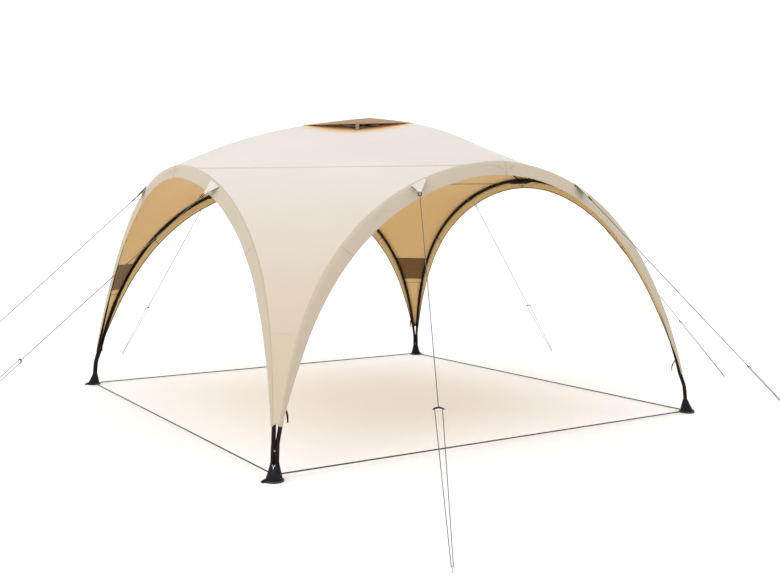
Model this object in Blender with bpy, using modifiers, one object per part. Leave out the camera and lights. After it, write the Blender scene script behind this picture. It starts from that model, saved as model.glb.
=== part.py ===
# Party pavilion: a dome shelter on four corner legs, with four arched sides, a vented crown and guy lines.
# Metres, +Z up. The origin is on the ground, below the middle of the crown.
# The front side faces -Y. Every side and corner is the front one, turned about Z in quarter turns.

import bpy
import bmesh
import numpy as np
from math import atan2, cos, hypot, pi, sin
from mathutils import Vector
from mathutils.bvhtree import BVHTree

# Overall sizes
FOOT_SPACING = 3.5
HALF = FOOT_SPACING / 2
GAP = 0.0003
CLOTH = 0.003

# The crease where roof and eave band meet over each arch. t runs from one foot (0) to the other (180
# degrees). Height and the lean towards the middle of the shelter are sums of powers of sin t, from the first
# on. The widening of the plain cosine is a sum of its even powers.
ARCH_RISE = (0.534, 2.529, -1.238)
ARCH_SPREAD = (0.148, -0.025, -0.115)
ARCH_LEAN = (-0.133, 0.797, -0.557)
ARCH_STEP = 5
CLOTH_START = 15
SEAM_ANGLE = 80
LEG_TOP_ANGLE = 30

# The eave band hangs from the crease. Its width is a sum of powers of sin t, from the first on, and the angle
# by which it leans out of the arch's plane, in radians, a sum of powers from the zeroth on.
BAND_WIDTH = (0.026, 0.248, -0.135, -0.055)
BAND_FLARE = (-0.041, 0.324, -0.165)
EDGE_INSET = 0.0018

# Roof panel, from the vent's square hole to the seams and arch tops. Between the ribs it hangs lower, by the
# sag times two powers, of the share of the way to the edge and of the rest of it, and all of it from about
# twice the sag's reach away from a rib.
CROWN_HEIGHT = 2.224
ROOF_SAG = 0.206
ROOF_SAG_POWERS = (0.76, 0.79)
ROOF_SAG_REACH = 0.136
VENT_HALF = 0.29
ROOF_RINGS = 9
SEAM_SEGMENTS = 8

# Vent cap, a square sheet with its corners on the four roof ribs
CAP_REACH = 0.60
CAP_TOP = 2.268
CAP_CORNER_LIFT = 0.0040
CAP_MIDDLE_LIFT = 0.0040
CAP_ROUNDNESS = 1.1
CAP_RINGS = 6
CAP_SEGMENTS = 24
PROP_REACH = 0.417
PROP_WIDTH = 0.030
PROP_THICKNESS = 0.004

# Poles
LEG_RADIUS = 0.0125
ARCH_RADIUS = 0.0115
HUB_RADIUS = 0.0130
RIB_RADIUS = 0.0055
# The pole's centre below the crease and in from it, first at the legs and then at the top, and the angles
# between which it moves from the one to the other
POLE_DROP = (0.0075, 0.0150)
POLE_INSET = (0.0154, 0.0126)
POLE_SHIFT_ANGLES = (40, 75)
RIB_CLEARANCE = 0.0009
RIB_DIP_LENGTH = 0.12
RIB_END_DROP = 0.0145
RIB_END_LENGTH = 0.25
RIB_INNER_REACH = (0.18, 0.09, 0.0)

# Feet and straps
# Foot sections: height, half width across the two tubes, half depth along the diagonal, shift inwards
FOOT_SECTIONS = (
    (0.000, 0.0560, 0.0560, 0.000),
    (0.004, 0.0565, 0.0565, 0.000),
    (0.009, 0.0550, 0.0550, 0.000),
    (0.013, 0.0490, 0.0490, 0.000),
    (0.050, 0.0375, 0.0340, 0.006),
    (0.094, 0.0275, 0.0175, 0.012),
    (0.098, 0.0258, 0.0155, 0.012),
)
FOOT_SEGMENTS = 24
LUG_LENGTH = 0.080
LUG_WIDTH = 0.024
LUG_HEIGHT = 0.012
# The two tubes of a leg stay together up to the split. Inset is how far in from the foot's centre, per axis.
LEG_COLLAR = 0.008
LEG_FOOT_INSET = 0.0085
LEG_SPLIT_HEIGHT = 0.215
LEG_SPLIT_INSET = 0.0195
LEG_TOP_COLLAR = 0.020
LEG_SPACING = 2 * LEG_RADIUS + 0.0005
STRAP_WIDTH = 0.009
STRAP_THICKNESS = 0.0025
# Height of a strap's end and its distance from the foot's centre, on the front left foot and on the others
STRAP_HIGH_END = (0.035, 0.0450)
STRAP_LOW_END = (0.012, 0.0558)

# Pockets inside the corners: the angles t of their lower and upper edges
POCKET_ANGLES = (33, 40)
POCKET_INSET = 0.018

# Guy lines: each tab's place along its side, and each peg's place along the side and reach from the middle
TAB_ALONG = 0.69
TAB_HALF_WIDTH = 0.060
TAB_LENGTH = 0.100
BUCKLE_HALF = 0.0110
BUCKLE_THICKNESS = 0.0075
BUCKLE_LENGTH = 0.034
GUY_REACH = 3.30
GUY_PEGS = {
    "front_guy_left": (-1.72, GUY_REACH),
    "front_guy_right": (1.14, GUY_REACH),
    "right_guy_left": (-0.96, GUY_REACH),
    "right_guy_right": (1.12, 3.15),
    "back_guy_left": (-1.10, GUY_REACH),
    "back_guy_right": (1.00, GUY_REACH),
    "left_guy_left": (-1.30, GUY_REACH),
    "left_guy_right": (0.00, GUY_REACH),
}
ROPE_RADIUS = 0.0020
SLIDER_PLACE = 0.68
SLIDER_LENGTH = 0.050
SLIDER_RADIUS = 0.0060
PEG_RADIUS = 0.0040
PEG_NECK = 0.7
ROPE_ON_PEG = 0.026
TAPER_LENGTH = 0.002
OCTAGON_CUT = 2 - 2**0.5
CREASE_SAMPLES = 1501

SIDES = ("front", "right", "back", "left")
CORNERS = ("front_left", "front_right", "back_right", "back_left")


def clear_scene():
    for old in list(bpy.data.objects):
        bpy.data.objects.remove(old, do_unlink=True)


def make_material(name, color, roughness, metallic=0.0):
    material = bpy.data.materials.new(name)
    material.use_nodes = True
    shader = material.node_tree.nodes["Principled BSDF"]
    shader.inputs["Base Color"].default_value = (*color, 1.0)
    shader.inputs["Roughness"].default_value = roughness
    shader.inputs["Metallic"].default_value = metallic
    return material


# Curves of the shelter

def power_sum(factors, s, first=1, step=1):
    return sum(factor * s ** (first + i * step) for i, factor in enumerate(factors))


def smooth_step(low, high, values):
    share = np.clip((values - low) / (high - low), 0, 1)
    return share**2 * (3 - 2 * share)


def arch_point(degrees_t):
    """Place along the side, lean towards the middle, and height of the crease at t."""
    t = np.radians(np.asarray(degrees_t, dtype=float))
    s = np.sin(t)
    along = -HALF * np.cos(t) * (1 + power_sum(ARCH_SPREAD, s, 2, 2))
    return along, power_sum(ARCH_LEAN, s), power_sum(ARCH_RISE, s)


def front_crease(degrees_t):
    along, lean, height = arch_point(degrees_t)
    return np.stack([along, -HALF + lean, height], axis=-1)


def opening_normal(degrees_t):
    """Unit vector in the arch's upright plane that points from the crease into the doorway."""
    step = 0.5
    tangent = front_crease(np.asarray(degrees_t) + step) - front_crease(np.asarray(degrees_t) - step)
    normal = np.stack([tangent[..., 2], np.zeros_like(tangent[..., 0]), -tangent[..., 0]], axis=-1)
    return normal / np.linalg.norm(normal, axis=-1, keepdims=True)


def band_direction(degrees_t):
    outward = np.array([0.0, -1.0, 0.0])
    flare = power_sum(BAND_FLARE, np.sin(np.radians(degrees_t)), 0)[..., None]
    return opening_normal(degrees_t) * np.cos(flare) + outward * np.sin(flare)


def band_width(degrees_t):
    return power_sum(BAND_WIDTH, np.sin(np.radians(degrees_t)))


def pole_path(degrees_t):
    """The arch pole runs inside the fold of roof and band, clear of both."""
    t = np.asarray(degrees_t, dtype=float)
    risen = smooth_step(*POLE_SHIFT_ANGLES, np.minimum(t, 180 - t))[..., None]
    drop = POLE_DROP[0] * (1 - risen) + POLE_DROP[1] * risen
    inset = POLE_INSET[0] * (1 - risen) + POLE_INSET[1] * risen
    return front_crease(t) + opening_normal(t) * drop + np.array([0.0, 1.0, 0.0]) * inset


# Places along the crease that the roof, the ribs and the guys share
ROOF_REACH = HALF - float(arch_point(90)[1])


def swap_sides(points):
    """Mirror across the upright plane through the front left corner."""
    return points[..., [1, 0, 2]]


def quarter_turn(points, count):
    c, s = round(cos(count * pi / 2)), round(sin(count * pi / 2))
    turn = np.array([[c, -s, 0.0], [s, c, 0.0], [0.0, 0.0, 1.0]])
    return points @ turn.T


# Mesh helpers

def link(obj, material):
    obj.data.materials.clear()
    obj.data.materials.append(material)
    pavilion.objects.link(obj)
    return obj


def grid_mesh(name, grid, closed=False):
    """Quads over an open grid of points. With closed, the last column joins the first."""
    rows, columns = grid.shape[:2]
    index = np.arange(rows * columns).reshape(rows, columns)
    if closed:
        index = np.concatenate([index, index[:, :1]], axis=1)
    quads = np.stack([index[:-1, :-1], index[:-1, 1:], index[1:, 1:], index[1:, :-1]], axis=-1)
    mesh = bpy.data.meshes.new(name)
    mesh.from_pydata(grid.reshape(-1, 3).tolist(), [], quads.reshape(-1, 4).tolist())
    mesh.validate()
    mesh.shade_smooth()
    return mesh


def closed_loft(name, sections):
    """Quads between closed sections, each end filled with one face."""
    mesh = grid_mesh(name, sections, closed=True)
    shell = bmesh.new()
    shell.from_mesh(mesh)
    bmesh.ops.holes_fill(shell, edges=[e for e in shell.edges if e.is_boundary], sides=sections.shape[1])
    bmesh.ops.recalc_face_normals(shell, faces=shell.faces)
    shell.to_mesh(mesh)
    shell.free()
    return mesh


def add_cloth(name, mesh, material, turns=0):
    obj = link(bpy.data.objects.new(name, mesh), material)
    obj.rotation_euler.z = turns * pi / 2
    solidify = obj.modifiers.new("thickness", "SOLIDIFY")
    solidify.thickness = CLOTH
    solidify.offset = 0.0
    return obj


def add_tube(name, points, radius, material, turns=0, scales=None, resolution=2):
    curve = bpy.data.curves.new(name, "CURVE")
    curve.dimensions = "3D"
    curve.bevel_depth = radius
    curve.bevel_resolution = resolution
    curve.use_fill_caps = True
    spline = curve.splines.new("POLY")
    spline.points.add(len(points) - 1)
    for i, point in enumerate(points):
        spline.points[i].co = (*point, 1.0)
        spline.points[i].radius = 1.0 if scales is None else scales[i]
    obj = link(bpy.data.objects.new(name, curve), material)
    obj.rotation_euler.z = turns * pi / 2
    return obj


def join_solid(base, extra):
    """Boolean union of extra into base. The extra piece stays hidden among the cutters."""
    pavilion.objects.unlink(extra)
    cutters.objects.link(extra)
    extra.hide_render = True
    extra.display_type = "WIRE"
    union = base.modifiers.new("with " + extra.name, "BOOLEAN")
    union.operation = "UNION"
    union.solver = "EXACT"
    union.object = extra


def surface_height(obj, x, y, upward):
    """Height where an upright line through x, y meets the object, seen from above or from below."""
    bpy.context.view_layer.update()
    tree = BVHTree.FromObject(obj, bpy.context.evaluated_depsgraph_get())
    start = Vector((x, y, 0.0 if upward else 10.0))
    hit = tree.ray_cast(start, Vector((0.0, 0.0, 1.0 if upward else -1.0)))
    return hit[0].z


# Frame

def foot_mesh():
    """Cone on a round base. It narrows to an oval under the two tubes and leans inwards with them."""
    height, wide, deep, shift = np.array(FOOT_SECTIONS).T[:, :, None]
    angle = np.arange(FOOT_SEGMENTS) * 2 * pi / FOOT_SEGMENTS
    inward = np.array([1.0, 1.0, 0.0]) / 2**0.5
    across = np.array([1.0, -1.0, 0.0]) / 2**0.5
    points = (across * (wide * np.cos(angle))[..., None] + inward * (shift + deep * np.sin(angle))[..., None]
              + np.array([0.0, 0.0, 1.0]) * height[..., None])
    return closed_loft("foot", points)


def make_feet():
    mesh = foot_mesh()
    for k, corner in enumerate(CORNERS):
        place = quarter_turn(np.array([-HALF, -HALF, 0.0]), k)
        foot = link(bpy.data.objects.new(f"foot_{corner}", mesh), plastic)
        foot.location = place
        foot.rotation_euler.z = k * pi / 2

        lug_mesh = bpy.data.meshes.new("lug")
        box = bmesh.new()
        bmesh.ops.create_cube(box, size=1.0)
        bmesh.ops.scale(box, vec=(LUG_LENGTH, LUG_WIDTH, LUG_HEIGHT), verts=box.verts)
        outward = np.sign(place[0])
        bmesh.ops.translate(box, vec=(outward * LUG_LENGTH / 2, 0.0, LUG_HEIGHT / 2), verts=box.verts)
        box.to_mesh(lug_mesh)
        box.free()
        lug = link(bpy.data.objects.new(f"lug_{corner}", lug_mesh), plastic)
        lug.location = place
        join_solid(foot, lug)


def leg_path(hand):
    """From the foot up beside its twin, then apart in a V and up inside the corner of the cloth."""
    foot_top = FOOT_SECTIONS[-1][0] + GAP
    aside = LEG_SPACING / 2 / 2**0.5
    low = ((foot_top, LEG_FOOT_INSET), (foot_top + LEG_COLLAR, LEG_FOOT_INSET),
           (LEG_SPLIT_HEIGHT, LEG_SPLIT_INSET))
    start = [np.array([-HALF + aside + inset, -HALF - aside + inset, z]) for z, inset in low]
    rise = pole_path(np.arange(CLOTH_START, LEG_TOP_ANGLE + 0.1, ARCH_STEP))
    onward = pole_path(LEG_TOP_ANGLE + ARCH_STEP) - rise[-1]
    collar = rise[-1] - onward / np.linalg.norm(onward) * LEG_TOP_COLLAR
    path = np.array([*start, *rise[:-1], collar, rise[-1]])
    return path * [-1, 1, 1] if hand == "right" else path


def make_legs():
    for k, side in enumerate(SIDES):
        for hand in ("left", "right"):
            add_tube(f"{side}_leg_{hand}", leg_path(hand), LEG_RADIUS, steel, k)


def make_arches():
    """One pole over each doorway. It is thicker at the hub where the roof rib meets it."""
    angles = np.arange(LEG_TOP_ANGLE, 180 - LEG_TOP_ANGLE + 0.1, ARCH_STEP)
    path = pole_path(angles)
    for end, beside in ((0, 1), (-1, -2)):
        inward = (path[beside] - path[end]) / np.linalg.norm(path[beside] - path[end])
        path[end] += inward * GAP
    scales = np.where(np.abs(angles - 90) < ARCH_STEP + 1, HUB_RADIUS / ARCH_RADIUS, 1.0)
    for k, side in enumerate(SIDES):
        add_tube(f"{side}_arch_pole", path, ARCH_RADIUS, steel, k, scales, 4)


def make_ribs(ridge):
    """Two roof ribs under the ridges of the roof. The one from left to right passes below the other."""
    half = ridge[::-1]
    drop = RIB_RADIUS + CLOTH / 2 + RIB_CLEARANCE
    reach = -half[:, 1]
    slope = np.gradient(half[:, 2], half[:, 1])
    lean = 1 / np.sqrt(1 + slope**2)
    low = half[:, 2] - drop / lean
    low -= RIB_END_DROP * smooth_step(ROOF_REACH - RIB_END_LENGTH, ROOF_REACH, reach)
    hub = pole_path(90)
    outer = np.array([-reach[0], low[0]])
    inner = np.array([-reach[1], low[1]])
    hub_centre = np.array([hub[1], hub[2]])
    towards = (inner - hub_centre) / np.linalg.norm(inner - hub_centre)
    outer = hub_centre + towards * (HUB_RADIUS + GAP)
    reach[0] = -outer[0]
    low[0] = outer[1]
    inner_reach = np.array(RIB_INNER_REACH)
    inner_height = CROWN_HEIGHT - (CROWN_HEIGHT - arch_point(90)[2]) * (inner_reach / ROOF_REACH) ** 2 - drop
    reach = np.concatenate([reach, inner_reach])
    low = np.concatenate([low, inner_height])
    y = np.concatenate([-reach, reach[-2::-1]])
    z = np.concatenate([low, low[-2::-1]])
    dip = (2 * RIB_RADIUS + RIB_CLEARANCE) * np.exp(-((y / RIB_DIP_LENGTH) ** 2))
    flat = np.zeros_like(y)
    add_tube("roof_rib_front_back", np.stack([flat, y, z], axis=-1), RIB_RADIUS, steel)
    add_tube("roof_rib_left_right", np.stack([y, flat, z - dip], axis=-1), RIB_RADIUS, steel)


# Cloth

def corner_grid(angles, columns, inset, top_inset):
    """Level lines from the front crease to the left crease, drawn in at the edges."""
    front = front_crease(angles)
    left = swap_sides(front)
    across = (left - front) / np.linalg.norm(left - front, axis=-1, keepdims=True)
    front = front + across * inset
    left = left - across * inset
    share = np.linspace(0, 1, columns)[None, :, None]
    grid = front[:, None] * (1 - share) + left[:, None] * share
    down = grid[-2] - grid[-1]
    grid[-1] += down / np.linalg.norm(down, axis=-1, keepdims=True) * top_inset
    return grid


def make_corner_panels():
    angles = np.arange(CLOTH_START, SEAM_ANGLE + 0.1, ARCH_STEP)
    mesh = grid_mesh("corner_panel", corner_grid(angles, 9, EDGE_INSET, GAP))
    for k, corner in enumerate(CORNERS):
        add_cloth(f"corner_panel_{corner}", mesh, canvas, k)


def make_pockets():
    """Brown pocket across the inside of each corner, hard against the panel."""
    angles = np.arange(POCKET_ANGLES[0], POCKET_ANGLES[1] + 0.1)
    below = POCKET_ANGLES[0] // ARCH_STEP * ARCH_STEP
    above = POCKET_ANGLES[1] + ARCH_STEP
    grid = corner_grid(np.arange(below, above + 1, ARCH_STEP), 5, POCKET_INSET, 0.0)
    rows = (angles - below) / ARCH_STEP
    lower = np.floor(rows).astype(int)
    share = (rows - lower)[:, None, None]
    panel = grid[lower] * (1 - share) + grid[lower + 1] * share
    inward = np.cross(grid[1, 2] - grid[0, 2], np.array([1.0, -1.0, 0.0]))
    panel = panel + inward / np.linalg.norm(inward) * (CLOTH + 2 * GAP)
    mesh = grid_mesh("pocket", panel)
    for k, corner in enumerate(CORNERS):
        add_cloth(f"pocket_{corner}", mesh, pocket_cloth, k)


def make_bands():
    angles = np.arange(CLOTH_START, 180 - CLOTH_START + 0.1, ARCH_STEP)
    crease = front_crease(angles)[:, None]
    direction = band_direction(angles)[:, None]
    width = band_width(angles)[:, None]
    steps = np.linspace(0, 1, 4)[None, :]
    reach = EDGE_INSET + steps * (width - EDGE_INSET)
    mesh = grid_mesh("eave_band", crease + direction * reach[..., None])
    for k, side in enumerate(SIDES):
        add_cloth(f"eave_band_{side}", mesh, canvas, k)


def roof_grid():
    """Rings from the square vent hole out to the eight-sided edge of arch tops and seams."""
    arch_angles = np.arange(SEAM_ANGLE, 180 - SEAM_ANGLE + 0.1, ARCH_STEP)
    outer = []
    inset = []
    for k in range(4):
        top = quarter_turn(front_crease(arch_angles), k)
        seam_start = top[-1]
        seam_end = quarter_turn(front_crease(SEAM_ANGLE), k + 1)
        share = np.linspace(0, 1, SEAM_SEGMENTS + 1)[1:-1, None]
        outer += [*top, *(seam_start * (1 - share) + seam_end * share)]
        inset += [EDGE_INSET] * len(top) + [GAP] * (SEAM_SEGMENTS - 1)
    outer = np.array(outer)
    inset = np.array(inset)[:, None]
    bearing = np.arctan2(outer[:, 1], outer[:, 0])
    edge_radius = np.hypot(outer[:, 0], outer[:, 1])
    hole_radius = VENT_HALF / np.maximum(np.abs(np.cos(bearing)), np.abs(np.sin(bearing)))
    ring = np.linspace(0, 1, ROOF_RINGS)[:, None]
    radius = hole_radius * (1 - ring) + edge_radius * ring
    ratio = radius / edge_radius
    beside_rib = radius * np.minimum(np.abs(np.cos(bearing)), np.abs(np.sin(bearing)))
    sag = ROOF_SAG * ratio ** ROOF_SAG_POWERS[0] * (1 - ratio) ** ROOF_SAG_POWERS[1]
    sag = sag * (1 - np.exp(-beside_rib / ROOF_SAG_REACH))
    height = CROWN_HEIGHT - (CROWN_HEIGHT - outer[:, 2]) * ratio**2 - sag
    grid = np.stack([radius * np.cos(bearing), radius * np.sin(bearing), height], axis=-1)
    inward = grid[-2] - grid[-1]
    grid[-1] += inward / np.linalg.norm(inward, axis=-1, keepdims=True) * inset
    return grid


def make_roof():
    grid = roof_grid()
    front_column = int(np.argmin(np.abs(np.arctan2(grid[-1, :, 1], grid[-1, :, 0]) + pi / 2)))
    add_cloth("roof_panel", grid_mesh("roof_panel", grid, closed=True), canvas)
    return grid[:, front_column]


def make_vent_cap(ridge):
    """A shallow square hood. Its corners lie on the ribs and its edges are propped up between them."""
    bearing = np.arange(CAP_SEGMENTS) * 2 * pi / CAP_SEGMENTS
    edge = CAP_REACH / (np.abs(np.cos(bearing)) + np.abs(np.sin(bearing)))
    corner_height = float(np.interp(CAP_REACH, -ridge[:, 1], ridge[:, 2])) + CAP_CORNER_LIFT
    edge_height = corner_height + CAP_MIDDLE_LIFT * np.abs(np.sin(2 * bearing)) ** 0.5
    ring = np.linspace(0, 1, CAP_RINGS)[1:, None]
    radius = edge * ring
    height = CAP_TOP - (CAP_TOP - edge_height) * ring**CAP_ROUNDNESS
    grid = np.stack([radius * np.cos(bearing), radius * np.sin(bearing), height], axis=-1)
    mesh = grid_mesh("vent_cap", grid, closed=True)
    shell = bmesh.new()
    shell.from_mesh(mesh)
    rim = [e for e in shell.edges if e.is_boundary
           and all(hypot(v.co.x, v.co.y) < CAP_REACH / 4 for v in e.verts)]
    bmesh.ops.contextual_create(shell, geom=rim)
    middle = bmesh.ops.poke(shell, faces=[f for f in shell.faces if len(f.verts) > 4])["verts"][0]
    middle.co = (0.0, 0.0, CAP_TOP)
    bmesh.ops.recalc_face_normals(shell, faces=shell.faces)
    shell.to_mesh(mesh)
    shell.free()
    return add_cloth("vent_cap", mesh, canvas_tan)


def make_props(roof, cap):
    """Short props that hold the middle of each cap edge above the roof."""
    for k, corner in enumerate(CORNERS):
        middle = quarter_turn(np.array([-PROP_REACH, -PROP_REACH, 0.0]) / 2**0.5, k)
        outward = middle / PROP_REACH
        crosswise = np.array([-outward[1], outward[0], 0.0])
        spots = [middle + outward * PROP_THICKNESS / 2 * i + crosswise * PROP_WIDTH / 2 * j
                 for i in (-1, 1) for j in (-1, 0, 1)]
        low = max(surface_height(roof, x, y, upward=False) for x, y, _ in spots) + GAP
        high = min(surface_height(cap, x, y, upward=True) for x, y, _ in spots) - GAP
        mesh = bpy.data.meshes.new("vent_prop")
        box = bmesh.new()
        bmesh.ops.create_cube(box, size=1.0)
        bmesh.ops.scale(box, vec=(PROP_WIDTH, PROP_THICKNESS, high - low), verts=box.verts)
        box.to_mesh(mesh)
        box.free()
        prop = link(bpy.data.objects.new(f"vent_prop_{corner}", mesh), plastic)
        prop.location = (middle[0], middle[1], (low + high) / 2)
        prop.rotation_euler.z = atan2(middle[1], middle[0]) + pi / 2


# Straps and guy lines

def make_straps():
    """A flat strap from foot to foot on each side, near the ground. It is higher at the front left foot."""
    for k, side in enumerate(SIDES):
        left = STRAP_HIGH_END if side == "front" else STRAP_LOW_END
        right = STRAP_HIGH_END if side == "left" else STRAP_LOW_END
        ends = np.array([[left[1] - HALF, -HALF, left[0]], [HALF - right[1], -HALF, right[0]]])
        along = (ends[1] - ends[0]) / np.linalg.norm(ends[1] - ends[0])
        mesh = loft("strap", ends, np.array([along, along]), np.full(2, STRAP_WIDTH / 2),
                    np.full(2, STRAP_THICKNESS / 2), np.array([0.0, 0.0, 1.0]))
        strap = link(bpy.data.objects.new(f"{side}_ground_strap", mesh), webbing)
        strap.rotation_euler.z = k * pi / 2


def tab_angle(along):
    """The t at which the crease is at this place along its side."""
    angles = np.linspace(CLOTH_START, 180 - CLOTH_START, CREASE_SAMPLES)
    return float(np.interp(along, arch_point(angles)[0], angles))


def crease_on_chords(degrees_t):
    """The crease as the cloth's straight segments have it."""
    angles = np.arange(0, 181, ARCH_STEP)
    points = front_crease(angles)
    return np.array([np.interp(degrees_t, angles, points[:, i]) for i in range(3)])


def guy_stations(place, reach, sign):
    """Centres, directions and half sizes (wide, thick) of the sections from the tab down to the ground."""
    peg_top = np.array([place, -reach, ROPE_ON_PEG])
    t = tab_angle(sign * TAB_ALONG)
    middle = crease_on_chords(t)
    pull = peg_top - middle
    length = np.linalg.norm(pull)
    pull /= length
    edge = crease_on_chords(t + 2) - crease_on_chords(t - 2)
    edge /= np.linalg.norm(edge)
    away = pull - edge * (edge @ pull)
    away /= np.linalg.norm(away)
    beside_band = away @ band_direction(t)
    tab_start = (CLOTH / 2 * (1 + beside_band) + 2 * GAP) / np.sqrt(1 - beside_band**2)
    tip = tab_start + TAB_LENGTH
    slider = length * SLIDER_PLACE
    along = [
        (tip, BUCKLE_HALF, CLOTH / 2),
        (tip + TAPER_LENGTH, BUCKLE_HALF, BUCKLE_THICKNESS / 2),
        (tip + BUCKLE_LENGTH, BUCKLE_HALF, BUCKLE_THICKNESS / 2),
        (tip + BUCKLE_LENGTH + TAPER_LENGTH, ROPE_RADIUS, ROPE_RADIUS),
        (slider, ROPE_RADIUS, ROPE_RADIUS),
        (slider + TAPER_LENGTH, SLIDER_RADIUS, SLIDER_RADIUS / 2),
        (slider + SLIDER_LENGTH, SLIDER_RADIUS, SLIDER_RADIUS / 2),
        (slider + SLIDER_LENGTH + TAPER_LENGTH, ROPE_RADIUS, ROPE_RADIUS),
        (length - PEG_RADIUS, ROPE_RADIUS, ROPE_RADIUS),
    ]
    down = np.array([0.0, 0.0, -1.0])
    bisector = (pull + down) / np.linalg.norm(pull + down)
    centres = [middle + away * tab_start] + [middle + pull * distance for distance, _, _ in along]
    centres += [peg_top, peg_top * [1, 1, PEG_NECK], peg_top * [1, 1, 0]]
    facing = [away] + [pull] * len(along) + [bisector, down, down]
    wide = [TAB_HALF_WIDTH] + [w for _, w, _ in along] + [PEG_RADIUS] * 3
    thick = [CLOTH / 2] + [h for _, _, h in along] + [PEG_RADIUS] * 3
    return np.array(centres), np.array(facing), np.array(wide), np.array(thick), edge


def loft(name, centres, facing, wide, thick, edge):
    """Eight-sided sections, flat or round, joined one after the other and capped."""
    cut = OCTAGON_CUT * np.minimum(wide, thick)
    across = np.stack([wide, wide - cut, cut - wide, -wide, -wide, cut - wide, wide - cut, wide], axis=-1)
    edge_cut = thick - cut
    through = np.stack([edge_cut, thick, thick, edge_cut, -edge_cut, -thick, -thick, -edge_cut], axis=-1)
    side = edge - facing * (facing @ edge)[:, None]
    side /= np.linalg.norm(side, axis=-1, keepdims=True)
    upright = np.cross(facing, side)
    offsets = side[:, None] * across[..., None] + upright[:, None] * through[..., None]
    return closed_loft(name, centres[:, None] + offsets)


def make_guys():
    """Each guy is one solid: the cloth tab at the crease, buckle, cord, slider and the peg's head."""
    for k, side in enumerate(SIDES):
        for sign, hand in ((-1, "left"), (1, "right")):
            name = f"{side}_guy_{hand}"
            guy = link(bpy.data.objects.new(name, loft(name, *guy_stations(*GUY_PEGS[name], sign))), rope)
            guy.rotation_euler.z = k * pi / 2


clear_scene()
pavilion = bpy.data.collections.new("party_pavilion")
cutters = bpy.data.collections.new("cutters")
for group in (pavilion, cutters):
    bpy.context.scene.collection.children.link(group)

canvas = make_material("canvas", (0.80, 0.74, 0.66), 0.85)
canvas_tan = make_material("canvas_tan", (0.55, 0.38, 0.18), 0.85)
pocket_cloth = make_material("pocket_cloth", (0.20, 0.12, 0.04), 0.9)
steel = make_material("steel", (0.02, 0.015, 0.012), 0.45)
plastic = make_material("plastic", (0.012, 0.012, 0.015), 0.5)
webbing = make_material("webbing", (0.06, 0.06, 0.065), 0.8)
rope = make_material("rope", (0.55, 0.55, 0.55), 0.7)

make_feet()
make_legs()
make_arches()
make_corner_panels()
make_pockets()
make_bands()
roof_ridge = make_roof()
make_ribs(roof_ridge)
vent_cap = make_vent_cap(roof_ridge)
make_props(bpy.data.objects["roof_panel"], vent_cap)
make_straps()
make_guys()
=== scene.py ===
import math

import bmesh
import bpy
import numpy as np
from mathutils import Matrix, Vector


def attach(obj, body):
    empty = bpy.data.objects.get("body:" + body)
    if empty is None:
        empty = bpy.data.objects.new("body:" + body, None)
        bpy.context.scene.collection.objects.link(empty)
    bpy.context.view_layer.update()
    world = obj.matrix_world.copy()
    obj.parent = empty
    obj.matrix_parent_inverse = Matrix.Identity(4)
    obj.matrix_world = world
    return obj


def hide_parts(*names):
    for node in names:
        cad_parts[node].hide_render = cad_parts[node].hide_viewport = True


# A dome shelter with four arched sides. The front faces -Y, and every side and corner is the front one,
# turned about Z in quarter turns. Lengths are metres, and the ground is at Z = 0.

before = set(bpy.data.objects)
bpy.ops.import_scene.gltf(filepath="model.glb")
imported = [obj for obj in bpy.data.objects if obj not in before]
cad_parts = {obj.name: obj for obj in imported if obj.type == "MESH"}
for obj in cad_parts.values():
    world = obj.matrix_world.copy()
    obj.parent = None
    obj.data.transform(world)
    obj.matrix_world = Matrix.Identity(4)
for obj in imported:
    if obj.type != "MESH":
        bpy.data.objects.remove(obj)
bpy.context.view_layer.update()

sides = ("front", "right", "back", "left")
corners = ("front_left", "front_right", "back_right", "back_left")
toRight, toBack, upwards = np.eye(3)


# Small helpers for arrays of points

def unit(vectors):
    return vectors / np.linalg.norm(vectors, axis=-1, keepdims=True)


def dot(a, b):
    return np.sum(a * b, axis=-1, keepdims=True)


def smoothStep(low, high, values):
    share = np.clip((values - low) / (high - low), 0, 1)
    return share**2 * (3 - 2 * share)


def quarterTurned(points, turns):
    c, s = round(math.cos(turns * math.pi / 2)), round(math.sin(turns * math.pi / 2))
    return points @ np.array([[c, -s, 0.0], [s, c, 0.0], [0.0, 0.0, 1.0]]).T


def swapped(points):
    # mirror across the upright plane through the front left corner
    return points[..., [1, 0, 2]]


def lengthsAlong(points):
    # running length along a line of points, from 0
    return np.concatenate([[0.0], np.cumsum(np.linalg.norm(np.diff(points, axis=0), axis=-1))])


def smoothPath(points, count):
    # Catmull-Rom curve through the points: between points b and c, with a before and d after, it is
    # 0.5 * (2b + (c - a)u + (2a - 5b + 4c - d)u^2 + (3b - a - 3c + d)u^3)
    p = np.asarray(points, float)
    p = np.concatenate([2 * p[:1] - p[1:2], p, 2 * p[-1:] - p[-2:-1]])
    place = np.linspace(0, len(p) - 3, count)
    k = np.minimum(place.astype(int), len(p) - 4)
    u = (place - k)[:, None]
    a, b, c, d = (p[k + i] for i in range(4))
    return 0.5 * (2 * b + (c - a) * u + (2 * a - 5 * b + 4 * c - d) * u**2 + (3 * b - a - 3 * c + d) * u**3)


# Curves of the shelter, the same as in the CAD source

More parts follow.
